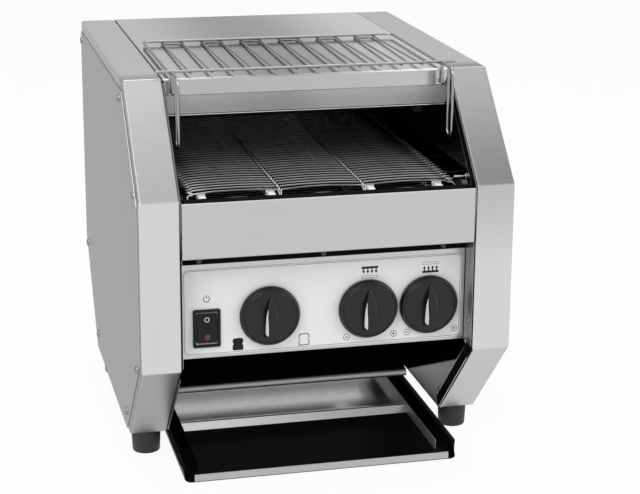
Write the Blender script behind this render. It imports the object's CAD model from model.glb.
"""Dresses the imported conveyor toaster: folded steel body, wire belt, knobs, chute, tray and rack.

Every length below is in millimetres and becomes metres when a piece is made. X runs to the
right, Y to the rear and Z up. New pieces are surfaces worked out as whole numpy arrays.
"""

import math

import bmesh
import bpy
import numpy as np
from mathutils import Matrix, Vector


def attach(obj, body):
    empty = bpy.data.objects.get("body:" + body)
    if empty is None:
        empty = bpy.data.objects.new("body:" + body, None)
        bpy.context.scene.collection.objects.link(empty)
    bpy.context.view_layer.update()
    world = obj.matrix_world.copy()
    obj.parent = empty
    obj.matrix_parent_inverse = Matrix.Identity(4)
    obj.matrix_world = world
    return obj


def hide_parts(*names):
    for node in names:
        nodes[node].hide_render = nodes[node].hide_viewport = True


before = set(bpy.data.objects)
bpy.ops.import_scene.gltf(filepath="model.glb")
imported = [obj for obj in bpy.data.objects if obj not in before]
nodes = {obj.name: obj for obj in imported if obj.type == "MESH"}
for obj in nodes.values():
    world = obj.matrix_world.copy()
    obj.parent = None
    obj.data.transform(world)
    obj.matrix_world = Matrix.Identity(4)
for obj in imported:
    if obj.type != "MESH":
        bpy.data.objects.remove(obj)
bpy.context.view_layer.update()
pi = math.pi

# ---- sizes shared with the part's source ----

HALF_W, X_FRAME, X_COLUMN, X_LINER, X_COVER = 185.0, 184.0, 145.5, 144.3, 145.2
SHEET = 1.2
FRONT_Y, REAR_Y, BASE_Z, TOP_Z = -230.0, 230.0, 25.0, 392.0
# The upper front panel's lower and upper edge; the mouth opens above it
SILL_Z, MOUTH_Z = 237.0, 292.0
# The side outline as Y, Z corners, counter-clockwise from the rear top
OUTLINE = np.array([(REAR_Y, TOP_Z), (-132, TOP_Z), (FRONT_Y, 294), (FRONT_Y, 126),
                    (-129, BASE_Z), (140, BASE_Z), (REAR_Y, 136)])
PANEL_INSET, SLOT_W = 12.0, 18.0
FOOT_X, FOOT_Y = (HALF_W + X_COLUMN) / 2, (-111.5, 122.5)
Y_PANEL, Y_OVERLAY, OVERLAY_Z, OVERLAY_W, OVERLAY_H = -204.2, -205.0, 176.0, 280.0, 87.0
KNOB_X, KNOB_Z = (-55.0, 44.0, 106.0), 169.0
SWITCH_X, SWITCH_Z, ROCKER_Y, ROCKER_TILT = -117.0, 160.0, -201.0, -7.0
BELT_PITCH, BELT_RUN = 9.5, 380.0
BELT_R = 8 * BELT_PITCH / (2 * pi)
BELT_TOP, BELT_HALF_W, WIRE_R = 292.2, 134.0, 0.8
DRIVE_Y, SHAFT_Z = -188.0, BELT_TOP - BELT_R
SEAM_X = (-42.5, 41.0)
TRAY_Y0, TRAY_Y1, TRAY_HALF_W = -208.0, 125.0, 140.0
RAIL_Z, RAIL_REAR_Y, RACK_END_Y, RACK_SIDE_X, LEG_X = 398.35, 52.0, -133.5, 137.5, 136.3


# ---- curves ----

def unit(vectors):
    """Vectors brought to the length 1."""
    return vectors / np.linalg.norm(vectors, axis=-1, keepdims=True)


def circle(count):
    """Angles round a full turn."""
    return np.linspace(0, 2 * pi, count, endpoint=False)


def polar(r, f, *height):
    """Points at the radius r and the angle f, with a height as their third place if given."""
    return np.stack(np.broadcast_arrays(r * np.cos(f), r * np.sin(f), *height), -1)


def filleted(corners, radii, steps):
    """Points and unit directions along a polyline whose inner corners are arcs.

    At a corner with turning angle t the arc starts radius * tan(t / 2) before it, and its points
    are start + radius * (sin f * a + (1 - cos f) * n), where a is the way in, n the unit vector
    square to it on the side of the bend, and f runs from 0 to t.
    """
    corners = np.asarray(corners, float)
    ways = unit(np.diff(corners, axis=0))
    radii = np.broadcast_to(radii, len(corners) - 2)
    points, directions = [corners[:1]], [ways[:1]]
    for q, a, b, radius in zip(corners[1:-1], ways[:-1], ways[1:], radii):
        turn = math.acos(max(-1.0, min(1.0, float(a @ b))))
        n = (b - a * math.cos(turn)) / math.sin(turn)
        f = np.linspace(0, turn, steps + 1)[:, None]
        start = q - a * radius * math.tan(turn / 2)
        points.append(start + radius * (np.sin(f) * a + (1 - np.cos(f)) * n))
        directions.append(np.cos(f) * a + np.sin(f) * n)
    points.append(corners[-1:])
    directions.append(ways[-1:])
    return np.concatenate(points), np.concatenate(directions)


def left_of(directions):
    """Unit normals to the left of directions in a plane."""
    return np.stack([-directions[..., 1], directions[..., 0]], -1)


def bent(corners, thickness, inner, steps=6):
    """Two sides of a folded sheet in its own plane: the path and the path moved left.

    A bend to the left has the sheet inside it, so its radius on the path is inner + thickness,
    and a bend to the right has the radius inner.
    """
    corners = np.asarray(corners, float)
    sides = np.diff(corners, axis=0)
    cross = sides[:-1, 0] * sides[1:, 1] - sides[:-1, 1] * sides[1:, 0]
    path, directions = filleted(corners, np.where(cross > 0, inner + thickness, inner), steps)
    return path, path + thickness * left_of(directions)


def side_normals(corners):
    """Corners of a closed outline, with the inward normals of the sides before and after."""
    q = np.asarray(corners, float)
    after = unit(left_of(np.roll(q, -1, 0) - q))
    return q, np.roll(after, 1, 0), after


def around(corners, depths, fold, steps):
    """Rings inside a convex outline with rounded corners, one for each depth.

    At a corner O with the mitre vector m, which is one unit deep, a point at depth d is
    O + m * max(d, fold) + max(fold - d, 0) * w, where w turns from one side's outward normal
    to the next. The result is indexed by place along the outline, depth and coordinate.
    """
    q, before, after = side_normals(corners)
    mitre = (before + after) / (1 + np.sum(before * after, 1))[:, None]
    a0 = np.arctan2(-before[:, 1], -before[:, 0])
    turn = (np.arctan2(-after[:, 1], -after[:, 0]) - a0 + pi) % (2 * pi) - pi
    f = a0[:, None] + turn[:, None] * np.linspace(0, 1, steps + 1)
    w = np.stack([np.cos(f), np.sin(f)], -1)[:, :, None, :]
    d = np.asarray(depths, float)[None, None, :, None]
    rings = (q[:, None, None, :] + mitre[:, None, None, :] * np.maximum(d, fold)
             + np.maximum(fold - d, 0) * w)
    return rings.reshape(-1, len(depths), 2)


def set_in(corners, distances):
    """An outline with each side moved inwards by its own distance."""
    q, before, after = side_normals(corners)
    da, db = np.roll(distances, 1)[:, None], np.asarray(distances, float)[:, None]
    c = np.sum(before * after, 1)[:, None]
    return q + (before * (da - db * c) + after * (db - da * c)) / (1 - c * c)


def round_rectangle(half_w, half_h, radius, inset, steps=6):
    """Closed outline of a rectangle with round corners, set in by a distance.

    Each corner is a quarter circle of radius - inset, and at least 0.05, about its own centre.
    """
    r = max(radius - inset, 0.05)
    f = (np.linspace(0, pi / 2, steps + 1) + np.arange(4)[:, None] * pi / 2).ravel()
    centre = np.repeat([(1, 1), (-1, 1), (-1, -1), (1, -1)], steps + 1, 0)
    return centre * (half_w - inset - r, half_h - inset - r) + polar(r, f)


# ---- forms ----

def upright(points, y):
    """X, Z points set at the depth y."""
    return np.insert(np.asarray(points, float), 1, y, axis=-1)


def lengthwise(points, x):
    """Y, Z points set at the place x."""
    points = np.asarray(points, float)
    return np.concatenate([np.broadcast_to(x, points.shape[:-1])[..., None], points], -1)


class Form:
    """Surfaces in millimetres that together make one piece."""

    def __init__(self):
        self.points, self.faces, self.count = [], [], 0

    def add(self, points, faces):
        """Takes in points and the faces that count them from 0."""
        points = np.asarray(points, float).reshape(-1, 3)
        self.points.append(points)
        self.faces.extend((np.asarray(face) + self.count).tolist() for face in faces)
        self.count += len(points)

    def surface(self, grid, wrap_u=False, wrap_v=False):
        """Quads over a grid of points, joined back to its start where it wraps."""
        nu, nv = grid.shape[:2]
        u = np.arange(nu if wrap_u else nu - 1)[:, None]
        v = np.arange(nv if wrap_v else nv - 1)[None, :]
        u1, v1 = (u + 1) % nu, (v + 1) % nv
        quads = np.stack([u * nv + v, u1 * nv + v, u1 * nv + v1, u * nv + v1], -1)
        self.add(grid, quads.reshape(-1, 4))

    def lid(self, loop):
        """One flat face over a closed loop."""
        self.add(loop, [np.arange(len(loop))])

    def stack(self, rings):
        """A closed body through rings of points, with a flat face at both ends."""
        self.surface(np.stack(rings), wrap_v=True)
        self.lid(rings[0])
        self.lid(rings[-1])

    def block(self, low, high):
        """A box between two corners."""
        (x0, y0, z0), (x1, y1, z1) = low, high
        ring = np.array([(x0, y0), (x1, y0), (x1, y1), (x0, y1)], float)
        self.stack([np.insert(ring, 2, z, axis=1) for z in (z0, z1)])

    def sheet(self, side_a, side_b, low, high):
        """A folded sheet: both sides of its Y, Z section, carried along X from low to high.

        low and high are one number or one for each point of the section.
        """
        loop = np.concatenate([side_a, side_b[::-1]])
        ends = []
        for reach in (low, high):
            reach = np.broadcast_to(reach, len(side_a))
            ends.append(lengthwise(loop, np.concatenate([reach, reach[::-1]])))
        self.folded(ends, len(side_a))

    def folded(self, rows, n):
        """A folded sheet through rows of its section, which goes out n points and n back."""
        self.surface(np.stack(rows), wrap_v=True)
        for end in (rows[0], rows[-1]):
            self.surface(np.stack([end[:n], end[n:][::-1]]))

    def lathe(self, profile, place, sides):
        """Profile points (radius, height) turned about an axis that place sets in space."""
        profile = np.asarray(profile, float)
        self.surface(place(polar(profile[:, :1], circle(sides), profile[:, 1:])), wrap_v=True)

    def tube(self, path, radius, side, sides, way=None):
        """Tube along a path, in rings radius * (cos f * side + sin f * up) about its points.

        side is square to the path and up is its way crossed with side, both of length 1. The
        way may be given, forwards or backwards along the path.
        """
        if way is None:
            way = unit(np.gradient(path, axis=0))
        side = np.broadcast_to(side, way.shape)
        f = circle(sides)[:, None]
        self.stack(path[:, None] + radius * (np.cos(f) * side[:, None]
                                             + np.sin(f) * np.cross(way, side)[:, None]))

    def wire(self, path, radius, side, sides):
        """Tube with round ends, along a path that lies square to the vector side.

        The ends add rings at radius * (1 - cos f) from the tip with the radius radius * sin f.
        """
        path = np.asarray(path, float)
        way = unit(np.gradient(path, axis=0))
        f = np.radians([12, 40, 68])
        step, small = radius * (1 - np.cos(f[:, None])), radius * np.sin(f)
        path = np.concatenate([path[:1] + step * way[:1], path[:1] + radius * way[:1],
                               path[1:-1], path[-1:] - radius * way[-1:],
                               path[-1:] - step[::-1] * way[-1:]])
        way = np.concatenate([np.repeat(way[:1], 4, 0), way[1:-1], np.repeat(way[-1:], 4, 0)])
        radii = np.concatenate([small, np.full(len(path) - 6, radius), small[::-1]])
        self.tube(path, radii[:, None, None], side, sides, way)

    def mirrored(self):
        """The same form on the other side of the plane X = 0."""
        self.points = [points * (-1.0, 1.0, 1.0) for points in self.points]
        self.faces = [face[::-1] for face in self.faces]
        return self


def axis_at(centre, axis):
    """Turns (a, b, height) into space with the height along an axis from a centre.

    axis is one of x, y, z, or -x, -y for the opposite way.
    """
    index = "xyz".index(axis[-1])
    order = [(2, 0, 1), (0, 2, 1), (0, 1, 2)][index]
    scale = np.ones(3)
    scale[index] = -1.0 if axis[0] == "-" else 1.0
    return lambda grid: grid[..., order] * scale + centre


def clean_mesh(name, form):
    """The form as a mesh in metres, with doubles merged and faces outwards."""
    mesh = bpy.data.meshes.new(name)
    mesh.from_pydata((np.concatenate(form.points) * 0.001).tolist(), [], form.faces)
    work = bmesh.new()
    work.from_mesh(mesh)
    bmesh.ops.remove_doubles(work, verts=work.verts, dist=2e-6)
    bmesh.ops.dissolve_degenerate(work, edges=work.edges, dist=1e-6)
    bmesh.ops.recalc_face_normals(work, faces=work.faces)
    work.to_mesh(mesh)
    work.free()
    return mesh


def in_scene(name, data):
    """A new object, put in the scene."""
    obj = bpy.data.objects.new(name, data)
    bpy.context.scene.collection.objects.link(obj)
    return obj


def keep_flat(obj):
    """Weighs the normals at each point by the size of the faces that meet there."""
    obj.modifiers.new("flat faces", "WEIGHTED_NORMAL").keep_sharp = True


def piece(name, form, finish, body, replaces=(), flat=False, crease=32):
    """Makes the object on its body, smooth but for edges sharper than crease degrees.

    With flat, big faces keep their own normal where they meet a bend.
    """
    mesh = clean_mesh(name, form)
    mesh.shade_smooth()
    mesh.set_sharp_from_angle(angle=math.radians(crease))
    mesh.materials.append(finish.material)
    obj = in_scene(name, mesh)
    if flat:
        keep_flat(obj)
    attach(obj, body)
    if replaces:
        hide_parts(*replaces)
    return obj


# ---- finishes ----

def add_node(tree, kind, inputs, settings=None):
    """Adds a node: its settings first, then the values or links of its sockets."""
    node = tree.nodes.new(kind)
    for key, value in (settings or {}).items():
        setattr(node, key, value)
    for key, value in inputs.items():
        if isinstance(value, bpy.types.NodeSocket):
            tree.links.new(value, node.inputs[key])
        else:
            node.inputs[key].default_value = value
    return node


class Sock:
    """A socket in a finish. + - * with numbers or other sockets add Math nodes."""

    def __init__(self, finish, socket):
        self.finish, self.socket = finish, socket

    def math(self, operation, a, b):
        """The result of a Math node on two numbers or sockets."""
        return self.finish.node("ShaderNodeMath", {0: a, 1: b}, {"operation": operation})

    def __add__(self, other):
        return self.math("ADD", self, other)

    def __sub__(self, other):
        return self.math("SUBTRACT", self, other)

    def __rsub__(self, other):
        return self.math("SUBTRACT", other, self)

    def __mul__(self, other):
        return self.math("MULTIPLY", self, other)

    __radd__, __rmul__ = __add__, __mul__

    def ramp(self, low, high, to_low=0.0, to_high=1.0):
        """Smooth step from low to high, mapped to another range."""
        return self.finish.node("ShaderNodeMapRange",
                                {0: self, 1: low, 2: high, 3: to_low, 4: to_high},
                                {"interpolation_type": "SMOOTHSTEP"})


class Finish:
    """A material whose constants sit on the shader and whose patterns are linked to it."""

    def __init__(self, name, **constants):
        self.material = bpy.data.materials.new(name)
        self.material.use_nodes = True
        self.tree = self.material.node_tree
        self.shader = self.tree.nodes["Principled BSDF"]
        for key, value in constants.items():
            self.shader.inputs[key.replace("_", " ")].default_value = value
        self.place = self.node("ShaderNodeTexCoord", {}, out="Object")

    def node(self, kind, inputs, settings=None, out=0):
        """Adds a node whose inputs are numbers or sockets, and gives one of its outputs."""
        inputs = {key: value.socket if isinstance(value, Sock) else value
                  for key, value in inputs.items()}
        return Sock(self, add_node(self.tree, kind, inputs, settings).outputs[out])

    def noise(self, size, stretch=(1, 1, 1), detail=2.0, roughness=0.5):
        """Noise with grains of about size millimetres, longer along an axis by its stretch."""
        scale = tuple(1000.0 / (size * s) for s in stretch)
        mapped = self.node("ShaderNodeMapping", {"Vector": self.place, "Scale": scale})
        return self.node("ShaderNodeTexNoise", {"Vector": mapped, "Scale": 1.0, "Detail": detail,
                                                "Roughness": roughness})

    def streaks(self, along):
        """Fine streaks along an axis, and a mix of them with broad ones."""
        stretch = [90 if axis == along else 1 for axis in "xyz"]
        fine = self.noise(0.5, stretch, 3.0)
        return fine, fine * 0.6 + self.noise(6.0, stretch) * 0.4

    def axis(self, index):
        """The X, Y or Z place in metres."""
        return self.node("ShaderNodeSeparateXYZ", {0: self.place}, out=index)

    def between(self, factor, dark, light):
        """Colour between two colours, of which each is a value or a link."""
        return self.node("ShaderNodeMix", {0: factor, 6: dark, 7: light}, {"data_type": "RGBA"},
                         out=2)

    def toned(self, level, top=1.0):
        """Grey from black at the level 0 to top at the level 1."""
        return self.between(level, grey(0.0), grey(top))

    def bump(self, height, strength, distance):
        """Normals of a relief whose height is a pattern."""
        return self.node("ShaderNodeBump",
                         {"Strength": strength, "Distance": distance, "Height": height})

    def link(self, **sockets):
        """Links patterns to the shader's sockets of these names."""
        for key, value in sockets.items():
            self.tree.links.new(value.socket, self.shader.inputs[key.replace("_", " ")])


def grey(value, warm=0.0):
    """A grey with full alpha: its red raised and its blue lowered by the share warm."""
    return (value * (1 + warm), value, value * (1 - warm), 1.0)


def metal(name, tint):
    """A metal finish, its grazing reflection dimmed by the tint."""
    return Finish(name, Metallic=1.0, Specular_Tint=grey(tint))


def brushed(name, level, along, roughness):
    """Satin steel brushed along an axis: long fine streaks in colour, gloss and height."""
    finish = metal(name, 0.5)
    fine, streaks = finish.streaks(along)
    cloud = finish.noise(90.0, detail=1.0)
    finish.link(
        Base_Color=finish.between(streaks * 0.75 + cloud * 0.25, grey(level * 0.94),
                                  grey(level * 1.06)),
        Roughness=streaks * 0.16 + (roughness - 0.08),
        Normal=finish.bump(fine, 0.06, 0.0001))
    return finish


def polished(name, level, roughness, smudge=0.08):
    """Bright metal with faint wiping marks that change its gloss a little."""
    finish = metal(name, 0.6)
    cloud = finish.noise(38.0, detail=4.0, roughness=0.6)
    streaks = finish.noise(1.2, (40, 1, 1))
    finish.link(
        Base_Color=finish.between(cloud * 0.6 + streaks * 0.4, grey(level * 0.96),
                                  grey(level * 1.04)),
        Roughness=cloud * smudge + streaks * smudge * 0.5 + (roughness - smudge * 0.75))
    return finish


def moulded(name, level, roughness, grain=0.35, warm=0.0, specular=0.5):
    """Moulded plastic or rubber: a fine grain and slight unevenness of tone."""
    finish = Finish(name, Specular_IOR_Level=specular)
    fine = finish.noise(grain)
    cloud = finish.noise(14.0)
    finish.link(
        Base_Color=finish.between(cloud, grey(level * 0.86, warm), grey(level * 1.14, warm)),
        Roughness=fine * 0.12 + cloud * 0.06 + (roughness - 0.09),
        Normal=finish.bump(fine, 0.12, 0.0002))
    return finish


panel_steel = brushed("side_panel_steel", 0.56, "z", 0.34)
front_steel = brushed("front_panel_steel", 0.55, "x", 0.30)
cheek_steel = brushed("flange_cheek_steel", 0.50, "z", 0.40)
base_steel = polished("base_steel", 0.92, 0.08, smudge=0.03)
rear_steel = brushed("rear_steel", 0.55, "z", 0.34)
chute_edge = polished("bare_chute_steel", 0.32, 0.45)
edge_steel = polished("flange_edge_steel", 0.75, 0.25)
dark_screw = polished("dark_screw_steel", 0.30, 0.28)
black_screw = polished("black_screw_steel", 0.07, 0.35)
strip_steel = brushed("pan_strip_steel", 0.60, "y", 0.50)
lip_steel = brushed("tray_lip_steel", 0.46, "x", 0.36)
shaft_steel = polished("shaft_steel", 0.55, 0.25)
chrome = polished("rack_chrome", 0.34, 0.08, smudge=0.03)
knob_plastic = moulded("knob_plastic", 0.006, 0.20, specular=0.36)
switch_plastic = moulded("switch_plastic", 0.007, 0.42, specular=0.22)
rubber = moulded("foot_rubber", 0.013, 0.58, grain=0.8)
white_plastic = moulded("white_plastic", 0.90, 0.4)
ink = moulded("panel_ink", 0.009, 0.5, specular=0.2)
grey_ink = moulded("panel_outline_ink", 0.16, 0.5)
ceramic = moulded("rod_ceramic", 0.05, 0.55, grain=0.8, warm=0.03)
phenolic = moulded("regulator_plastic", 0.55, 0.5, warm=0.05)
motor_paint = moulded("motor_paint", 0.05, 0.45, grain=1.2)
seal_black = moulded("sealing_bead", 0.012, 0.5)
flange_black = moulded("flange_shade", 0.003, 0.65, specular=0.04)


def heat_steel():
    """Inner steel that heat has blackened: it darkens towards the heating rods."""
    finish = metal("inner_steel", 0.3)
    cloud = finish.noise(45.0, detail=4.0, roughness=0.6)
    streaks = finish.noise(1.0, (60, 1, 1))
    bare = finish.between(streaks, grey(0.34), grey(0.42))
    heat = finish.axis("Z").ramp(0.10, 0.19) * (cloud * 0.06 + 0.95)
    finish.link(Base_Color=finish.between(heat, bare, grey(0.022)),
                Roughness=cloud * 0.10 + streaks * 0.06 + 0.14)
    return finish


def liner_finish():
    """Side liner, heat-blackened but smooth enough to mirror the belt.

    It is bright below a line that sinks to the rear, near black above it and a little paler
    again from the belt up.
    """
    finish = metal("liner_steel", 0.3)
    cloud = finish.noise(60.0, detail=3.0)
    z = finish.axis("Z")
    high = (z + finish.axis("Y") * 0.428).ramp(0.0190, 0.0216) * (cloud * 0.02 + 0.98)
    level = 0.90 - high * 0.896 + z.ramp(0.24, 0.28) * 0.20
    finish.link(Base_Color=finish.toned(level),
                Roughness=cloud * 0.04 + z.ramp(0.13, 0.24, 0.32, 0.04))
    return finish


def frame_finish():
    """Brushed column steel whose tone follows its facets.

    Its grey is 0.6 of a tone: 0.65 + 0.12 * u on the front's left slope and 0.40 + 0.25 * u on
    the right one, u rising from the slope's foot to its top; 0.8 and 1.15 on the lower slopes;
    and 1.1 elsewhere, which sinks to 0.85 up the right upright face.
    """
    finish = metal("frame_steel", 0.5)
    fine, streaks = finish.streaks("z")
    side = finish.axis("X").ramp(-0.05, 0.05)
    z = finish.axis("Z")
    up = z.ramp(0.294, 0.392)
    slope = z.ramp(0.2925, 0.2955)
    low = z.ramp(0.1245, 0.1275, 1.0, 0.0)
    front = finish.axis("Y").ramp(-0.126, -0.10, 1.0, 0.0)
    on_slope = up * 0.12 - 0.45 + side * (up * 0.13 - 0.25)
    on_low = side * 0.35 - 0.30
    on_face = side * z.ramp(0.2, 0.294) * (slope * 0.25 - 0.25)
    tone = front * (slope * on_slope + low * on_low + on_face) + 1.1
    finish.link(Base_Color=finish.toned(tone * 0.5 + (streaks - 0.5) * 0.06, 1.2),
                Roughness=streaks * 0.16 + 0.24,
                Normal=finish.bump(fine, 0.06, 0.0001))
    return finish


def pan_finish():
    """Bright pan floor with a hem along its front that dulls to the right."""
    finish = metal("pan_steel", 0.9)
    cloud = finish.noise(38.0, detail=4.0, roughness=0.6)
    back = finish.axis("Y").ramp(-0.0775, -0.0735)
    right = finish.axis("X").ramp(-0.13, 0.12)
    hem = 0.60 - right * 0.28
    tone = hem + back * (cloud * 0.02 + 0.98 - hem)
    finish.link(Base_Color=finish.toned(tone),
                Roughness=cloud * 0.02 + (0.22 - back * 0.04))
    return finish


def cover_finish():
    """Polished cover: uneven over its top, paler and duller on the strip under the fascia."""
    finish = metal("cover_steel", 0.6)
    cloud = finish.noise(38.0, detail=4.0, roughness=0.6)
    streaks = finish.noise(1.2, (40, 1, 1))
    x, z = finish.axis("X"), finish.axis("Z")
    top = z.ramp(0.3900, 0.3915)
    under = z.ramp(0.3745, 0.3765, 1.0, 0.0)
    tone = cloud * 0.06 + streaks * 0.04
    middle = x.ramp(-0.14, -0.02) - x.ramp(0.0, 0.13)
    rightward = x.ramp(-0.1, 0.14)
    face = 0.42 + rightward * 0.05
    rim = z.ramp(0.3546, 0.3554, 1.0, 0.0)
    level = (top * (0.25 - middle * 0.44 + rightward * 0.12)
             + under * (0.55 + rightward * 0.35 - middle * 0.30) + rim + face + tone)
    finish.link(Base_Color=finish.toned(level),
                Roughness=cloud * 0.06 + under * 0.36 + 0.14)
    return finish


def belt_finish():
    """Stainless wire: paler at the front, black on the lower run, bright where it is worn.

    The worn places are spots of the fine noise, the bands of the Z bends and the end loops.
    """
    finish = Finish("belt_wire", Metallic=1.0)
    bloom = finish.noise(16.0, (2, 1, 1), 3.0, 0.6)
    fine = finish.noise(1.5, (3, 1, 1))
    away = finish.axis("Y").ramp(-0.20, -0.02)
    worn = finish.between(away, grey(0.42), grey(0.10))
    low = finish.between(finish.axis("Z").ramp(0.274, 0.284, 0.9, 0.0), worn, grey(0.01))
    x = finish.axis("X")
    loops = (x * x).ramp(0.0158, 0.0166)
    for place in SEAM_X:
        seam = x - place * 0.001
        loops = loops + (seam * seam).ramp(3e-7, 2e-6, 1.0, 0.0)
    base = finish.between(loops * (0.7 - away * 0.45), low, grey(0.75))
    finish.link(Base_Color=finish.between(fine.ramp(0.6, 0.75) * (0.35 - away * 0.25), base,
                                          grey(0.7)),
                Roughness=fine * 0.12 + bloom * 0.06 + 0.30)
    return finish


def coating(name, level, roughness):
    """Non-stick coating: near black with a faint orange-peel surface and dull wiped areas."""
    finish = Finish(name, Specular_IOR_Level=0.06)
    peel = finish.noise(1.6)
    cloud = finish.noise(50.0, (1.5, 1, 1), 3.0)
    finish.link(Base_Color=finish.between(cloud, grey(level * 0.7), grey(level * 1.3)),
                Roughness=cloud * 0.12 + (roughness - 0.06),
                Normal=finish.bump(peel, 0.08, 0.0002))
    return finish


def printed_film():
    """Light grey panel film: fine metallic fleck, a soft sheen and a paler right end."""
    finish = Finish("overlay_film", Specular_IOR_Level=0.4)
    fleck = finish.noise(0.35, (6, 1, 1))
    cloud = finish.noise(70.0, detail=1.0)
    right = finish.axis("X").ramp(0.085, 0.14)
    finish.link(Base_Color=finish.between(fleck * 0.3 + cloud * 0.1 + right * 0.5, grey(0.78),
                                          grey(0.94)),
                Roughness=fleck * 0.1 + 0.36)
    return finish


def lens_finish():
    """Dark red lens: fine ribs under a glossy skin."""
    finish = Finish("rocker_lens", Coat_Weight=0.25, Coat_Roughness=0.08)
    ribs = finish.noise(0.6, (1, 1, 6), 1.0)
    finish.link(Base_Color=finish.between(ribs, (0.08, 0.004, 0.004, 1.0),
                                          (0.14, 0.009, 0.008, 1.0)),
                Roughness=ribs * 0.1 + 0.25)
    return finish


def rod_finish():
    """Oxidised sheath of a heating rod: mottled brown grey."""
    finish = Finish("rod_sheath", Metallic=0.8)
    bloom = finish.noise(12.0, (3, 1, 1), 3.0)
    finish.link(Base_Color=finish.between(bloom, grey(0.05), grey(0.10)),
                Roughness=bloom * 0.2 + 0.35)
    return finish


def board_finish():
    """Green circuit board with paler tracks."""
    finish = Finish("board_green", Coat_Weight=0.3, Coat_Roughness=0.3)
    tracks = finish.noise(2.2, (4, 1, 1), 0.0).ramp(0.5, 0.53)
    finish.link(Base_Color=finish.between(tracks, (0.012, 0.07, 0.03, 1.0),
                                          (0.03, 0.13, 0.055, 1.0)),
                Roughness=tracks * 0.1 + 0.35)
    return finish


inner_steel = heat_steel()
frame_steel = frame_finish()
liner_steel = liner_finish()
belt_wire = belt_finish()
tray_black = coating("tray_coating", 0.0035, 0.40)
chute_black = coating("chute_coating", 0.006, 0.30)
film = printed_film()
lens_red = lens_finish()
rod_sheath = rod_finish()
board_green = board_finish()


# ---- body ----

def side_frame():
    """Channel around the side outline: a face between two folded flanges.

    The section is the path (depth, x) from one flange's edge over both bends to the other,
    0 deep on the face; each of its points runs around the outline at its own depth.
    """
    form = Form()
    section = [(18, -X_COLUMN), (0, -X_COLUMN), (0, -X_FRAME), (18, -X_FRAME)]
    outer, inner = bent(section, SHEET, 1.0, 5)
    loop = np.concatenate([outer, inner[::-1]])
    rings = around(OUTLINE, loop[:, 0], 2.2, 5)
    form.surface(lengthwise(rings, loop[:, 1]), wrap_u=True, wrap_v=True)
    return form


def cut_out(obj, low, high):
    """Takes a box out of a piece."""
    box = Form()
    box.block(low, high)
    cutter = in_scene("cutter", clean_mesh("cutter", box))
    cut = obj.modifiers.new("cut", "BOOLEAN")
    cut.operation, cut.solver, cut.object = "DIFFERENCE", "EXACT", cutter
    bpy.context.view_layer.update()
    obj.data = bpy.data.meshes.new_from_object(obj.evaluated_get(
        bpy.context.evaluated_depsgraph_get()))
    obj.modifiers.clear()
    bpy.data.objects.remove(cutter)


for form, side, sign in ((side_frame(), "left", -1), (side_frame().mirrored(), "right", 1)):
    made = piece(f"{side}_column_channel", form, frame_steel, "body",
                 [f"{side}_side_frame"])
    cut_out(made, (sign * FOOT_X - SLOT_W / 2, -40, BASE_Z - 1),
            (sign * FOOT_X + SLOT_W / 2, 60, BASE_Z + 2))
    keep_flat(made)


PANEL_EDGE = set_in(OUTLINE, PANEL_INSET * np.array([1, 1, 1, 1, 0, 0, 0]))


def side_panel():
    """Flat panel let into the channel, with a small round-over along its rim."""
    form = Form()
    steps = [(0, -X_FRAME), (0, -HALF_W + 0.5), (0.15, -HALF_W + 0.15), (0.5, -HALF_W)]
    rings = around(PANEL_EDGE, [d for d, _ in steps], 1.5, 4)
    form.stack([lengthwise(rings[:, k], x) for k, (_, x) in enumerate(steps)])
    return form


for form, side in ((side_panel(), "left"), (side_panel().mirrored(), "right")):
    piece(f"{side}_panel_sheet", form, panel_steel, "body", [f"{side}_side_panel"],
          flat=True)


def edge_strip(form, corners, near, far, fold, steps, rows, x0, x1):
    """Strip along an outline: the rectangle between two depths and two places in X.

    It runs over some rows of the outline's points, of which each corner has steps + 1.
    """
    rings = around(corners, (near, near, far, far), fold, steps)[rows]
    form.stack(lengthwise(rings, np.array([x0, x1, x1, x0])))


for side, sign in (("left", -1), ("right", 1)):
    bead, shade, rim, cheek = Form(), Form(), Form(), Form()
    edge_strip(bead, PANEL_EDGE, -0.4, 0.02, 1.5, 4, slice(4, 21), sign * X_FRAME,
               sign * (X_FRAME + 0.25))
    for rows in (slice(6, 18), slice(18, 30)):
        for form, near, far, proud in ((shade, 0.5, 11.6, 0.12), (rim, 11.6, 12.4, 0.35)):
            edge_strip(form, OUTLINE, near, far, 2.2, 5, rows, sign * X_LINER,
                       sign * (X_LINER - proud))
    for form, y0, y1, z0, z1, proud in (
            (shade, FRONT_Y + 1, -205.6, SILL_Z + 0.4, MOUTH_Z - 1, 0.12),
            (cheek, FRONT_Y + 1, -218.2, 129.0, SILL_Z, 0.3),
            (cheek, -217.4, -205.6, 129.0, SILL_Z, 0.25)):
        form.block((sign * X_LINER, y0, z0), (sign * (X_LINER - proud), y1, z1))
    for name, form, finish, slot in (("panel_bead", bead, seal_black, "rubber"),
                                     ("flange_shade", shade, flange_black, "black_coating"),
                                     ("flange_edge", rim, edge_steel, "body_steel"),
                                     ("flange_cheek", cheek, cheek_steel, "body_steel")):
        piece(f"{side}_{name}", form, finish, "body")


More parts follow.
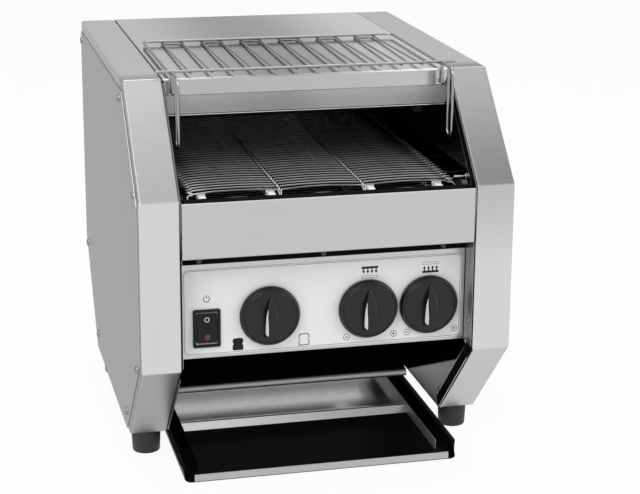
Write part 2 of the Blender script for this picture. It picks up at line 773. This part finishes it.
def screw(form, place, diameter, height, slot_w, slot_d, turn, shank=None):
    """Slotted pan head over a square grid pressed into a disc, and its shank (radius, length).

    A point (u, v) of the square goes to (u, v) * max(|u|, |v|) / length(u, v). Its height is
    height * (1 - r ** 4) ** 0.5 over the radius r, less slot_d where |x| is inside the slot.
    """
    r0 = diameter / 2
    even = np.linspace(-1, 1, 21)
    lines = np.unique(np.append(even, np.array([-1.02, -1, 1, 1.02]) * slot_w / 2 / r0))
    u, v = np.meshgrid(lines, even, indexing="ij")
    length = np.hypot(u, v)
    scale = np.maximum(np.abs(u), np.abs(v)) / np.where(length == 0, 1, length)
    inside = np.abs(u) <= 1.001 * slot_w / 2 / r0
    u2, v2 = np.where(inside, u, u * scale), v * np.where(inside, np.sqrt(1 - u * u), scale)
    r = np.clip(np.hypot(u2, v2), 0, 1)
    top = height * np.sqrt(np.clip(1 - r ** 4, 0, 1)) - np.where(inside, slot_d, 0)
    top = np.maximum(top, np.where(inside, height - slot_d, 0) * (r < 0.999))
    c, s = math.cos(turn), math.sin(turn)
    form.surface(place(np.stack([(u2 * c - v2 * s) * r0, (u2 * s + v2 * c) * r0, top], -1)))
    form.lathe([(r0, 0), (0, 0)], place, 40)
    if shank:
        r, length = shank
        form.lathe([(r, 0), (r, -length), (0, -length)], place, 16)


side_screws = Form()
for k, (y, z) in enumerate(((218, 371), (-113, 371), (-205, 296), (213, 130), (130, 44),
                            (-200, 121), (-118, 46))):
    for sign, axis in ((-1, "-x"), (1, "x")):
        screw(side_screws, axis_at((sign * HALF_W, y, z), axis), 8.5, 2.2, 1.1, 1.0,
              0.5 + 1.9 * k, (2, 6))
piece("side_screw_heads", side_screws, dark_screw, "body", ["side_panel_screws"],
      crease=40)


liner_screws = Form()
for k, (y, z) in enumerate(((-130, 47), (-212, 129), (-218, 153), (-227, 254))):
    for sign, axis in ((-1, "x"), (1, "-x")):
        screw(liner_screws, axis_at((sign * (X_LINER - 0.3), y, z), axis), 4.6, 1.1, 0.7, 0.6,
              0.3 + k)
piece("liner_screw_heads", liner_screws, dark_screw, "body", crease=40)


def top_cover():
    """Cover with its fascia and sloping strip folded down in front.

    Below the top sheet the section is narrower, so that it passes between the liners.
    """
    form = Form()
    path, inside = bent([(REAR_Y, TOP_Z), (-135, TOP_Z), (-135, 376), (-126, 354), (-118, 357)],
                        SHEET, 1.2)
    reach = np.where(path[:, 1] > TOP_Z - 1.5, X_COVER, X_LINER - 0.3)
    form.sheet(path, inside, -reach, reach)
    return form


piece("polished_top_cover", top_cover(), cover_finish(), "body", ["top_cover"],
      flat=True, crease=40)

seams = Form()
for x in (-145.25, 145.25):
    seams.block((x - 0.35, -131, TOP_Z - 0.3), (x + 0.35, REAR_Y - 1, TOP_Z + 0.05))
piece("cover_seam_beads", seams, seal_black, "body")
hem = Form()
hem.wire([(x, -126.6, 353.9) for x in (-143.6, 0, 143.6)], 0.6, (0, 0, 1), 8)
piece("cover_strip_hem", hem, edge_steel, "body")

front = Form()
front.sheet(*bent([(-214, MOUTH_Z), (FRONT_Y, MOUTH_Z), (FRONT_Y, SILL_Z), (Y_PANEL, SILL_Z)],
                  SHEET, 0.5), -143.7, 143.7)
piece("upper_front_sheet", front, front_steel, "body", ["upper_front_panel"],
      flat=True, crease=40)

base = Form()
base.sheet(*bent([(16, 43), (16, BASE_Z), (139, BASE_Z)], SHEET, 1.0), -X_LINER, X_LINER)
piece("base_sheet", base, base_steel, "body", ["base_plate"], flat=True,
      crease=40)


# ---- control panel ----

def on_panel(points, height):
    """X, Z points raised from the overlay's face towards the user."""
    return upright(points, Y_OVERLAY - height)


def printed(form, loop, hole=None, proud=0.06):
    """Ink proud of the overlay: all inside an outline, or what a second outline leaves of it."""
    sunk = -0.05
    if hole is None:
        form.stack([on_panel(loop, height) for height in (sunk, proud)])
    else:
        form.surface(np.stack([on_panel(edge, height) for edge, height in (
            (loop, sunk), (loop, proud), (hole, proud), (hole, sunk))]), wrap_u=True, wrap_v=True)


def overlay_loop(inset):
    """The overlay's outline: a round rectangle about its middle, set in by a distance."""
    return round_rectangle(OVERLAY_W / 2, OVERLAY_H / 2, 6, inset) + (0, OVERLAY_Z)


seal = Form()
for low, high in (((-144.2, Y_PANEL - 0.15, 224.4), (144.2, Y_PANEL, 236.8)),
                  ((143.5, Y_PANEL - 0.15, 130), (144.2, Y_PANEL, 224.4)),
                  ((-143.5, FRONT_Y + 1, MOUTH_Z), (143.5, -214.3, MOUTH_Z + 0.15))):
    seal.block(low, high)
piece("panel_seal_strip", seal, flange_black, "body")

overlay = Form()
overlay.stack([on_panel(overlay_loop(inset), height)
               for inset, height in ((0, -0.8), (0, -0.25), (0.08, -0.08), (0.25, 0))])
piece("overlay_sheet", overlay, film, "body", ["control_overlay"], flat=True)

outline = Form()
printed(outline, overlay_loop(1.0), overlay_loop(1.5), 0.04)
piece("overlay_outline", outline, grey_ink, "body")


def slice_loop(half, height):
    """Outline of a slice of bread: straight sides with a notch under each rounded shoulder.

    The half width is half * (1 - 0.22 * exp(-((v - 0.53) / 0.08) ** 2)) over the share v of the
    height, with round corners at the foot and wider ones at the shoulders.
    """
    f = np.linspace(0, pi / 2, 8)
    low, high = half * 0.22, half * 0.5
    foot = polar(low, f - pi / 2) + (half - low, low)
    v = np.linspace(0.2, 0.78, 15)
    wall = np.stack([half * (1 - 0.22 * np.exp(-((v - 0.53) / 0.08) ** 2)), v * height], 1)
    top = polar(high, f) + (half - high, height - high)
    right = np.concatenate([foot, wall, top])
    return np.concatenate([right, (right * (-1, 1))[::-1]])


def shrunk(loop, by):
    """A loop drawn in towards its middle by a distance along each axis."""
    middle = (loop.max(0) + loop.min(0)) / 2
    half = (loop.max(0) - loop.min(0)) / 2
    return middle + (loop - middle) * (1 - by / half)


def rod_loop(half, thickness):
    """Outline of a bar: half wide to each side of its middle and thickness high."""
    return np.array([(-half, 0), (half, 0), (half, thickness), (-half, thickness)], float)


marks = Form()
printed(marks, slice_loop(5.3, 12.4) + (-86.3, 135.1))
pale_slice = slice_loop(5.4, 12.2) + (-20.3, 135.1)
printed(marks, pale_slice, shrunk(pale_slice, 0.8))
arrow = np.array([(-0.6, 0), (0.6, 0), (0.6, 2.6), (1.6, 2.6), (0, 5.2), (-1.6, 2.6),
                  (-0.6, 2.6)])
for x, z, way, bar_z, arrow_z, tray_z in ((45.7, 209.6, -1, 0.0, 0.2, -9.6),
                                          (107.9, 201.6, 1, -0.4, 1.6, 8.4)):
    printed(marks, rod_loop(8.4, 2.2) + (x, z + bar_z))
    for dx in (-6.3, -2.1, 2.1, 6.3):
        printed(marks, arrow * (1, way) + (x + dx, z + arrow_z))
    tray = rod_loop(8.4, 2.4) + (x, z + tray_z)
    printed(marks, tray, shrunk(tray, 0.3))
ring = polar(1.0, circle(40))
for x, z, plus in ((22.8, 140.2, False), (71.1, 140.2, True), (85.4, 140.6, False),
                   (134.1, 141.2, True)):
    printed(marks, ring * 3.4 + (x, z), ring * 2.9 + (x, z))
    printed(marks, rod_loop(1.6, 0.7) + (x, z - 0.35))
    if plus:
        printed(marks, rod_loop(0.35, 3.2) + (x, z - 1.6))
# power symbol: a broken ring with a stroke from its middle up through the gap
arc = polar(1.0, np.linspace(pi / 2 + 0.6, 5 * pi / 2 - 0.6, 40))
printed(marks, np.concatenate([arc * 3.4, arc[::-1] * 2.7]) + (SWITCH_X, 189.5))
printed(marks, rod_loop(0.35, 3.8) + (SWITCH_X, 189.9))
piece("panel_marks", marks, ink, "body", crease=20)

small_screws = Form()
for k, x in enumerate((-124, -1, 121)):
    screw(small_screws, axis_at((x, Y_PANEL, 228), "-y"), 6, 1.5, 0.9, 0.8, 0.4 + k, (1.5, 5))
piece("panel_screw_heads", small_screws, black_screw, "body", ["panel_screws"],
      crease=40)


# ---- switch ----

def bezel_ring(half_w, half_h, radius, inset, height):
    """Ring of the switch's frame: a round rectangle about its middle, at a height."""
    return on_panel(round_rectangle(half_w, half_h, radius, inset, 5) + (SWITCH_X, SWITCH_Z),
                    height)


def switch_bezel():
    """Moulded frame: its rim, face and opening, a body behind the panel, and a floor."""
    form = Form()
    rings = [bezel_ring(13.5, 19.25, 1.8, inset, height)
             for inset, height in ((0, 0), (0, 1.7), (0.25, 2.2), (0.8, 2.5), (2.2, 2.5),
                                   (2.6, 2.3), (2.75, 1.8), (2.8, -4), (2.8, -19))]
    rings += [bezel_ring(12.1, 17.9, 0.8, 0, height) for height in (-24, 0)]
    form.surface(np.stack(rings), wrap_u=True, wrap_v=True)
    form.lid(bezel_ring(10.7, 16.45, 0.3, 0, -19))
    return form


def on_key(loop, lift, height=None):
    """X, Z points about the rocker's axle, raised from the key's face and set in place.

    The face is hollow: 6.8 + 1.5 * (|z| / 14) ** 1.6 in front of the axle, with z the point's
    own height, or one height for all. The key's tilt at rest then turns the points.
    """
    z = loop[:, 1] if height is None else height
    front = 6.8 + 1.5 * np.clip(np.abs(z) / 14.0, 0, 1) ** 1.6 + lift
    c, s = math.cos(math.radians(ROCKER_TILT)), math.sin(math.radians(ROCKER_TILT))
    x, y, z = upright(loop, -front).T
    return np.stack([x + SWITCH_X, y * c - z * s + ROCKER_Y, y * s + z * c + SWITCH_Z], 1)


def rocker_key():
    """Key: rings of a round rectangle drop over its rim and close over the hollow face."""
    form = Form()
    rings = [on_key(round_rectangle(10.2, 14.5, 1.0, inset, 4), -drop)
             for inset, drop in ((0, 7.4), (0, 0.9), (0.2, 0.35), (0.55, 0.08), (1.0, 0.0))]
    face = round_rectangle(10.2, 14.5, 1.0, 1.0, 4)
    form.stack(rings + [on_key(face * share, 0) for share in (0.8, 0.6, 0.4, 0.2, 0.02)])
    return form


piece("switch_frame", switch_bezel(), switch_plastic, "body", ["switch_bezel"],
      flat=True)
piece("rocker_key", rocker_key(), switch_plastic, "rocker", ["rocker"],
      crease=50)
off_ring = Form()
off_ring.surface(np.stack([on_key(ring * radius + (0, 8.4), lift) for radius, lift in (
    (2.4, -0.3), (2.4, 0.06), (1.85, 0.06), (1.85, -0.3))]), wrap_u=True, wrap_v=True)
piece("rocker_off_ring", off_ring, white_plastic, "rocker")
lens = Form()
lens.stack([on_key(ring * radius + (0, -9.0), lift, -9.0) for radius, lift in (
    (2.9, -0.6), (2.9, 0.1), (2.6, 0.35), (1.7, 0.5), (0.05, 0.55))])
piece("rocker_lens_dome", lens, lens_red, "rocker", ["rocker_lens"], crease=50)


# ---- knobs ----

def knob_skirt(form, place):
    """Skirt of the knob: a rounded wall, a cone and a nearly flat face with a groove by its rim."""
    form.lathe([(0.02, -22), (3, -22), (3, 0.8), (29.2, 0.8), (29.9, 1.1), (30, 1.6), (30, 3.2),
                (29.85, 3.65), (29.5, 3.8), (29.2, 4.1), (28.5, 6.4), (28.2, 7.0), (27.7, 7.4),
                (27.0, 7.55), (26.6, 7.5), (26.3, 7.15), (25.9, 7.15), (25.6, 7.5),
                (25.2, 7.65), (12, 7.75), (0.02, 7.8)], place, 96)


def grip_point(v, t, inset=0.0):
    """Half width and depth of the grip at the height v and the share t from foot to ridge.

    The half width falls from 7.1 to 5.1 over t and is full up to v = 2, then a pointed arch
    (1 - p ** 1.9) ** 0.95, p = (v - 2) / 20. The ridge sinks towards the point.
    """
    p = np.clip((v - 2) / 20.0, 0, 1)
    half = np.clip((7.1 - 2.0 * t) * (1 - p ** 1.9) ** 0.95 - inset, 0, None)
    return half, 7.3 + 13.5 * t * (1 - 0.85 * np.clip((v + 10) / 32, 0, 1) ** 1.5)


def knob_grip(form, place):
    """Fin across the knob: rings from its foot to its ridge, the ridge's rim rounded over."""
    rings = []
    low = np.linspace(0, 1, 9)
    high = 2 + 20 * np.sin(np.linspace(0, pi / 2, 16)[1:])
    for t, inset in ((0, -0.5), (0.05, 0), (0.93, 0), (0.975, 0.12), (0.995, 0.4), (1.0, 0.8)):
        foot = -20 + 4.6 * t + inset
        v = np.append(foot + (2 - foot) * low, np.minimum(high, 22 - 1.5 * max(inset, 0)))
        half, depth = grip_point(v, t, inset)
        right = np.stack([half, v, depth], 1)
        rings.append(place(np.concatenate([right, (right * (-1, 1, 1))[::-1][1:]])))
    form.surface(np.stack(rings), wrap_v=True)
    n = len(right)
    form.surface(np.stack([rings[-1][:n], rings[-1][n - 1:][::-1]]))
    form.lid(rings[0])


def knob_sliver(form, place):
    """White insert in the grip's left flank: straight along the ridge, bowed towards the foot.

    Over the share s of its height its edge towards the foot runs from t = 0.38 to the ridge's
    0.97 as 0.97 - 0.59 * (1 - s ** 2.2).
    """
    s = np.linspace(0, 1, 24)
    v = -15.6 + 25.6 * s
    ridge, foot = np.full(24, 0.97), 0.97 - 0.59 * (1 - s ** 2.2)
    ridge[0], foot[0] = 0.9, 0.48
    edge = np.array([np.append(v, v[::-1]), np.append(ridge, foot[::-1])])
    middle = edge.mean(1, keepdims=True)
    rings = []
    for share, proud in ((1, -0.5), (1, 0.1), (0.96, 0.22), (0.6, 0.26), (0.02, 0.26)):
        v, t = middle + (edge - middle) * share
        half, depth = grip_point(v, t)
        rings.append(place(np.stack([-half - proud, v, depth], 1)))
    form.stack(rings)


for x, name, body in zip(KNOB_X, ("speed", "upper", "lower"),
                         ("speed_knob", "upper_heat_knob", "lower_heat_knob")):
    place = axis_at((x, Y_OVERLAY, KNOB_Z), "-y")
    moulding, insert = Form(), Form()
    knob_skirt(moulding, place)
    knob_grip(moulding, place)
    knob_sliver(insert, place)
    piece(f"{name}_knob_moulding", moulding, knob_plastic, body, [body],
          crease=30)
    piece(f"{name}_knob_insert", insert, white_plastic, body, [f"knob_pointers_{name}"],
          crease=50)


# ---- belt ----

def on_belt(s, x, h):
    """Point of the belt at the way s along its loop, the place x and the height h above it.

    The loop starts at the top of the front wheel and runs rearwards; each end is half a circle
    of the belt's radius about its shaft.
    """
    half = pi * BELT_R
    s = np.mod(s, 2 * BELT_RUN + 2 * half)
    r = BELT_R + h
    rear = (s - BELT_RUN) / BELT_R
    low = BELT_RUN - (s - BELT_RUN - half)
    front = (s - 2 * BELT_RUN - half) / BELT_R
    where = [s < BELT_RUN, rear < pi, low > 0]
    y = np.select(where, [s, BELT_RUN + r * np.sin(rear), low], -r * np.sin(front))
    z = np.select(where, [r, r * np.cos(rear), -r], -r * np.cos(front))
    return np.stack([x, DRIVE_Y + y, SHAFT_Z + z], -1)


def belt_strand(s0):
    """One wire across the belt: three bowed spans, two Z bends and a hooked end each side.

    Over a span the wire bows rearwards by 2.6 * (1 - t ** 2), t from -1 to 1. At a Z bend it
    runs one pitch forward, over its neighbour, and back. At its ends it curls round the
    neighbour in half an ellipse.
    """
    joints, c = SEAM_X, BELT_HALF_W - 6.8
    f = np.linspace(0, pi, 11)
    hook = np.stack([5.8 * np.sin(f), (BELT_PITCH + 1.6) * ((1 - np.cos(f)) / 2 - 1),
                     1.5 * np.cos(f)], 1)
    jog = np.array([(-1.3, -0.30, 0.1), (-0.8, -0.75, 0.6), (-0.4, -1.07, 1.0), (0, -1.13, 0.2),
                    (0.4, -1.07, -0.9), (0.8, -0.75, -0.6), (1.3, -0.30, -0.1)])
    jog = jog * (1.0, BELT_PITCH, 1.0)
    t = np.linspace(-1, 1, 9)[:, None]
    parts = [hook * (-1, 1, 1) + (-c, 0, 0)]
    ends = (-c + 1.5, joints[0] - 2.2, joints[0] + 2.2, joints[1] - 2.2, joints[1] + 2.2, c - 1.5)
    for k in range(3):
        a, b = ends[2 * k:2 * k + 2]
        parts.append(np.concatenate([(a + b) / 2 + (b - a) / 2 * t, 2.6 * (1 - t * t),
                                     0.5 * (1 - t * t)], 1))
        if k < 2:
            parts.append(jog + (joints[k], 0, 0))
    parts.append(hook[::-1] + (c, 0, 0))
    x, s, h = np.concatenate(parts).T
    return on_belt(s0 + s, x, h)


strands = Form()
count = round((2 * BELT_RUN + 2 * pi * BELT_R) / BELT_PITCH)
for i in range(count):
    path = belt_strand((i + 0.5) * BELT_PITCH)
    back = -unit(np.gradient(path, axis=0))
    # The tube's sides are square to the way out of the loop, from the plane of both shafts
    core = np.clip(path, (-np.inf, DRIVE_Y, SHAFT_Z), (np.inf, DRIVE_Y + BELT_RUN, SHAFT_Z))
    strands.tube(path, WIRE_R, unit(np.cross(path - core, back)), 6, back)
piece("belt_strands", strands, belt_wire, "body", ["wire_belt"], crease=60)


def belt_wheel(form, y, x):
    """White wheel: a hub with eight rounded teeth that stand between the cross wires.

    Its radius is 8.6 + 2.3 * s over the angle, where s is a smooth step of cos 8 f.
    """
    f = circle(128)
    wave = np.clip(np.cos(8 * f) * 1.6 - 0.35, 0, 1)
    radius = 8.6 + 2.3 * wave * wave * (3 - 2 * wave)
    place = axis_at((x, y, SHAFT_Z), "x")
    form.stack([place(polar(radius - inset, f, height))
                for height, inset in ((-3.7, 0.7), (-3.1, 0), (3.1, 0), (3.7, 0.7))])


for body, y, name in (("drive_shaft", DRIVE_Y, "drive_sprockets"),
                      ("idle_shaft", DRIVE_Y + BELT_RUN, "idle_sprockets")):
    wheels = Form()
    for x in (-118, -50, 49, 118):
        belt_wheel(wheels, y, x)
    if body == "drive_shaft":
        wheels.lathe([(4, -4), (6.5, -4), (6.5, 0), (10.4, 0), (10.7, 0.3), (10.7, 2.7),
                      (10.4, 3), (4, 3)], axis_at((159.5, y, SHAFT_Z), "x"), 48)
    piece(f"{name}_moulded", wheels, white_plastic, body, [name])


stub = Form()
for profile, x in (([(0, 0), (1.3, 0), (1.3, 14), (0, 14)], 130.0),
                   ([(0, 0), (2.6, 0), (3.0, 0.4), (3.0, 2.6), (0, 2.6)], 141.4)):
    stub.lathe(profile, axis_at((x, -203.0, 297.5), "x"), 24)
piece("belt_guide_stub", stub, shaft_steel, "body", crease=40)


# ---- chute ----

CHUTE_SLOPE, CHUTE_R, CHUTE_MIDDLE, ROLL_MIDDLE = 9.4, 193.0, (29.0, 299.6), (-140.0, 73.2)


def chute_section():
    """Under and upper side of the chute: a rolled lip, a sloping floor and a rear curve.

    The roll is an arc 2.8 in radius, from behind to the top, and the rear curve an arc of the
    chute's radius from the floor's foot to level with its middle; the floor touches both.
    """
    f = np.radians(np.linspace(285, 90 + CHUTE_SLOPE, 20))
    g = np.radians(np.linspace(CHUTE_SLOPE - 90, 0, 40))
    roll = polar(2.8, f) + ROLL_MIDDLE
    curve = polar(CHUTE_R, g) + CHUTE_MIDDLE
    along = curve[0] - roll[-1]
    floor = roll[-1] + along * np.linspace(0, 1, 6)[1:-1, None]
    path = np.concatenate([roll, floor, curve])
    upwards = np.concatenate([polar(1, f), np.tile(left_of(unit(along)), (len(floor), 1)),
                              -polar(1, g)])
    return path, path + SHEET * upwards


chute = Form()
under, over = chute_section()
chute.sheet(under, over, -139.0, 104.0)
piece("chute_sheet", chute, chute_edge, "body", ["toast_chute"], flat=True,
      crease=45)

skin = Form()
upwards = left_of(unit(np.gradient(over, axis=0)))
skin.sheet((over - 0.1 * upwards)[18:], (over + 0.08 * upwards)[18:], -138.9, 103.9)
piece("chute_coating_skin", skin, chute_black, "body", flat=True,
      crease=45)


# ---- tray ----

def tray_shell():
    """Tray: floor, side walls and curled flanges as one section carried along Y.

    Towards the front the walls sink and the flanges narrow: heights are cut off at a limit
    that rises over the first 15, and the flange's reach grows with it.
    """
    form = Form()
    h = TRAY_HALF_W
    side_a, side_b = bent([(-h - 3, 14), (-h, 14), (-h, 1), (h, 1), (h, 14), (h + 3, 14)],
                          1.0, 0.5, 4)
    loop = np.concatenate([side_a, side_b[::-1]])
    rows = []
    for y, limit, reach, narrow in ((0.2, 2.0, 0, 4.0), (1.5, 2.0, 0, 1.8), (4, 2.2, 0, 0.4),
                                    (6, 3.0, 0, 0), (8, 6.0, 0, 0), (10, 10.0, 0.6, 0),
                                    (12, 13.4, 1.6, 0), (14, 14.6, 2.6, 0), (17, 15.0, 3.0, 0),
                                    (TRAY_Y1 - TRAY_Y0, 15.0, 3.0, 0)):
        x = np.clip(loop[:, 0], -h - reach, h + reach) * (1 - narrow / h)
        rows.append(upright(np.stack([x, np.minimum(loop[:, 1], limit)], 1), TRAY_Y0 + y))
    form.folded(rows, len(side_a))
    form.block((-h + 0.5, TRAY_Y1 - 2, 1.5), (h - 0.5, TRAY_Y1 - 1, 11))
    return form


piece("tray_shell", tray_shell(), tray_black, "toast_tray", ["toast_tray"],
      flat=True, crease=40)
lip = Form()
lip.sheet(*bent([(TRAY_Y0, 9.0), (TRAY_Y0, 1.0), (TRAY_Y0 + 6, 1.0)], 0.9, 0.5),
          -TRAY_HALF_W + 9, TRAY_HALF_W - 9)
piece("tray_front_lip", lip, lip_steel, "toast_tray", flat=True, crease=40)

pan = Form()
pan.sheet(*bent([(-80, 2.0), (-76.6, 10.9), (-54, 2.8), (122, 2.8)], -0.8, 1.4), -125, 125)
piece("pan_sheet", pan, pan_finish(), "toast_tray", ["crumb_pan"], flat=True,
      crease=40)
for side, sign, finish in (("left", -1, tray_black), ("right", 1, strip_steel)):
    strip = Form()
    strip.block((sign * 124.2, -184, 2), (sign * 125, 122, 13))
    piece(f"pan_{side}_strip", strip, finish, "toast_tray", flat=True,
          crease=40)


# ---- feet and gland ----

feet = Form()
for x in (-FOOT_X, FOOT_X):
    for y in FOOT_Y:
        feet.lathe([(6, 11), (6, 0.3), (6.3, 0), (12.9, 0), (13.7, 0.4), (14.1, 1.3),
                    (15.1, 22.6), (15.3, 24.2), (15.0, 25), (2.6, 25), (2.6, 11), (6, 11)],
                   axis_at((x, y, 0), "z"), 56)
piece("rubber_feet_moulded", feet, rubber, "body", ["rubber_feet"])


UP_Y, UP_Z = unit(OUTLINE[6] - OUTLINE[5])


def gland_place(points):
    """Turns (a, b, height) about the gland's axis, square to the rear slope in its middle."""
    y, z = (OUTLINE[5] + OUTLINE[6]) / 2
    return points @ np.array([(1, 0, 0), (0, UP_Y, UP_Z), (0, UP_Z, -UP_Y)]) + (-110.0, y, z)


def gland_rings(radius, f, steps):
    """Rings about the gland's axis, radius(size) wide over the angles f, at each step's height."""
    return [gland_place(polar(radius(size), f, height)) for size, height in steps]


gland = Form()
f = circle(48)
# A hexagon's radius over the angle: the radius of its flats / cos of the angle off a flat
hexed = 12 * math.cos(pi / 6) / np.cos((f + pi / 6) % (pi / 3) - pi / 6)
for low, high in ((0, 4), (-5.2, -1.2)):
    gland.stack(gland_rings(lambda limit: np.minimum(hexed, limit), f,
                            ((11.0, low), (12.0, low + 0.6), (12.0, high - 0.6), (11.0, high))))
fluted = circle(96)
flutes = 10.0 - 0.5 * np.clip(np.cos(16 * fluted), 0, 1)
gland.surface(np.stack(gland_rings(lambda share: flutes * share, fluted,
                                   ((1.0, 3.9), (1.0, 7.0), (0.93, 8.4), (0.80, 9.0)))),
              wrap_v=True)
gland.lathe([(8.0, 9.0), (4.6, 9.0), (4.0, 8.4), (4.0, -11), (8.0, -11), (8.0, 3.9)],
            gland_place, 96)
piece("cable_gland_moulded", gland, switch_plastic, "body", ["cable_gland"],
      crease=35)


# ---- loading rack ----

RAIL_R, SIDE_Z = 1.5, 395.75
LONG_X, LONG_PITCH, LONG_Z, LONG_REAR_Y, LONG_REAR_Z = -117.15, 21.3, 396.15, 60.0, 393.55


def rack():
    """Bread rack of welded wires: long wires in U pairs, two rails, hairpin legs and hooks."""
    form = Form()
    level, sideways = (0, 0, 1), (1, 0, 0)
    form.wire([(x, -132, RAIL_Z) for x in (-152, -50, 50, 152)], RAIL_R, level, 16)
    side, _ = filleted([(-RACK_SIDE_X, RACK_END_Y, SIDE_Z), (-RACK_SIDE_X, RAIL_REAR_Y, SIDE_Z),
                        (RACK_SIDE_X, RAIL_REAR_Y, SIDE_Z), (RACK_SIDE_X, RACK_END_Y, SIDE_Z)],
                       5.0, 8)
    form.wire(side, RAIL_R, level, 16)
    # The long wires lie in one plane, which sinks to the rear
    square = unit(np.array([0.0, LONG_Z - LONG_REAR_Z, LONG_REAR_Y - RACK_END_Y]))
    for i in range(0, 12, 2):
        a, b = LONG_X + i * LONG_PITCH, LONG_X + (i + 1) * LONG_PITCH
        path, _ = filleted([(a, RACK_END_Y, LONG_Z), (a, LONG_REAR_Y, LONG_REAR_Z),
                            (b, LONG_REAR_Y, LONG_REAR_Z), (b, RACK_END_Y, LONG_Z)], 5.0, 6)
        form.tube(path, 1.1, square, 12)
    for x in (-LEG_X, LEG_X):
        leg, _ = filleted([(x, -132, RAIL_Z), (x, -171.75, RAIL_Z), (x, -171.75, 330.35),
                           (x, -158.25, 330.35), (x, -158.25, RAIL_Z)], (7, 6.7, 6.7), 8)
        hook, _ = filleted([(x, -137.1, RAIL_Z), (x, -137.1, 377.85), (x, -142.1, 377.85),
                            (x, -142.1, 380.6)], (2.5, 2.5), 8)
        form.wire(leg, RAIL_R, sideways, 14)
        form.wire(hook, RAIL_R, sideways, 14)
    return form


piece("rack_wires", rack(), chrome, "wire_rack", ["wire_rack"], crease=50)


# ---- finishes of the plain nodes ----

for names, finish in (
        ("left_liner right_liner", liner_steel),
        ("bay_shield belt_support upper_reflector lower_reflector tray_rails", inner_steel),
        ("rear_panel rear_slope_panel", rear_steel),
        ("control_panel", front_steel),
        ("chute_rods foot_screws drive_shaft idle_shaft motor_sprocket shaft_bushings",
         shaft_steel),
        ("upper_heating_rods lower_heating_rods", rod_sheath),
        ("rod_holders", ceramic),
        ("gear_motor", motor_paint),
        ("drive_chain", belt_wire),
        ("terminal_block speed_potentiometer upper_heat_regulator lower_heat_regulator",
         phenolic),
        ("limit_thermostat fan_housing fan_impeller", switch_plastic),
        ("control_board", board_green)):
    for name in names.split():
        mesh = nodes[name].data
        mesh.materials.clear()
        mesh.materials.append(finish.material)


# ---- stage, light and camera ----

WHITE = (1, 1, 1, 1)


def seen_directly(tree):
    """1 for camera, glossy and transmission rays, else 0."""
    rays = add_node(tree, "ShaderNodeLightPath", {}).outputs
    total = rays["Is Camera Ray"]
    for name in ("Is Glossy Ray", "Is Transmission Ray"):
        total = add_node(tree, "ShaderNodeMath", {0: total, 1: rays[name]},
                         {"operation": "ADD", "use_clamp": True}).outputs[0]
    return total


def mix_out(tree, factor, first, second, output):
    """Mixes two shaders by a factor and links the mix to the tree's output."""
    blend = add_node(tree, "ShaderNodeMixShader",
                     {0: factor, 1: first.outputs[0], 2: second.outputs[0]})
    add_node(tree, output, {"Surface": blend.outputs[0]})


mesh = bpy.data.meshes.new("floor")
mesh.from_pydata([(-14, -14, -0.0002), (14, -14, -0.0002), (14, 14, -0.0002),
                  (-14, 14, -0.0002)], [], [(0, 1, 2, 3)])
floor = in_scene("floor", mesh)
paper = bpy.data.materials.new("floor_paper")
paper.use_nodes = True
tree = paper.node_tree
tree.nodes.clear()
glow_share = add_node(tree, "ShaderNodeMath", {0: seen_directly(tree), 1: 0.93},
                      {"operation": "MULTIPLY"}).outputs[0]
mix_out(tree, glow_share, add_node(tree, "ShaderNodeBsdfDiffuse", {"Color": grey(0.86)}),
        add_node(tree, "ShaderNodeEmission", {"Color": WHITE, "Strength": 1.0}),
        "ShaderNodeOutputMaterial")
floor.data.materials.append(paper)

world = bpy.data.worlds.new("studio")
bpy.context.scene.world = world
world.use_nodes = True
tree = world.node_tree
tree.nodes.clear()
soft, white = (add_node(tree, "ShaderNodeBackground", {"Color": WHITE, "Strength": strength})
               for strength in (0.55, 1.0))
mix_out(tree, seen_directly(tree), soft, white, "ShaderNodeOutputWorld")


def soft_box(name, place, aim, size, power):
    """Square area lamp that faces a point."""
    lamp = bpy.data.lights.new(name, "AREA")
    lamp.shape, lamp.size, lamp.energy = "SQUARE", size, power
    obj = in_scene(name, lamp)
    obj.location = place
    obj.rotation_mode = "QUATERNION"
    obj.rotation_quaternion = (Vector(aim) - Vector(place)).to_track_quat("-Z", "Y")


soft_box("key", (-1.2, -1.4, 2.0), (0, 0, 0.2), 1.4, 26)
soft_box("fill", (1.6, -1.2, 1.0), (0, 0, 0.2), 1.2, 10)
soft_box("top", (0.2, 0.6, 2.2), (0, 0, 0.3), 1.6, 14)

camera = bpy.data.cameras.new("camera")
camera.sensor_width, camera.lens, camera.shift_y = 36.0, 97.58, -0.05
view = in_scene("camera", camera)
# Columns: the camera's ways to the right, up and back, and its place in metres
view.matrix_world = Matrix([(0.971499, 0.056742, -0.230152, -0.39016),
                            (-0.236926, 0.263018, -0.935248, -1.76971),
                            (0.007466, 0.963121, 0.268965, 0.71696), (0, 0, 0, 1)])
bpy.context.scene.camera = view
bpy.context.scene.view_settings.view_transform = "Standard"
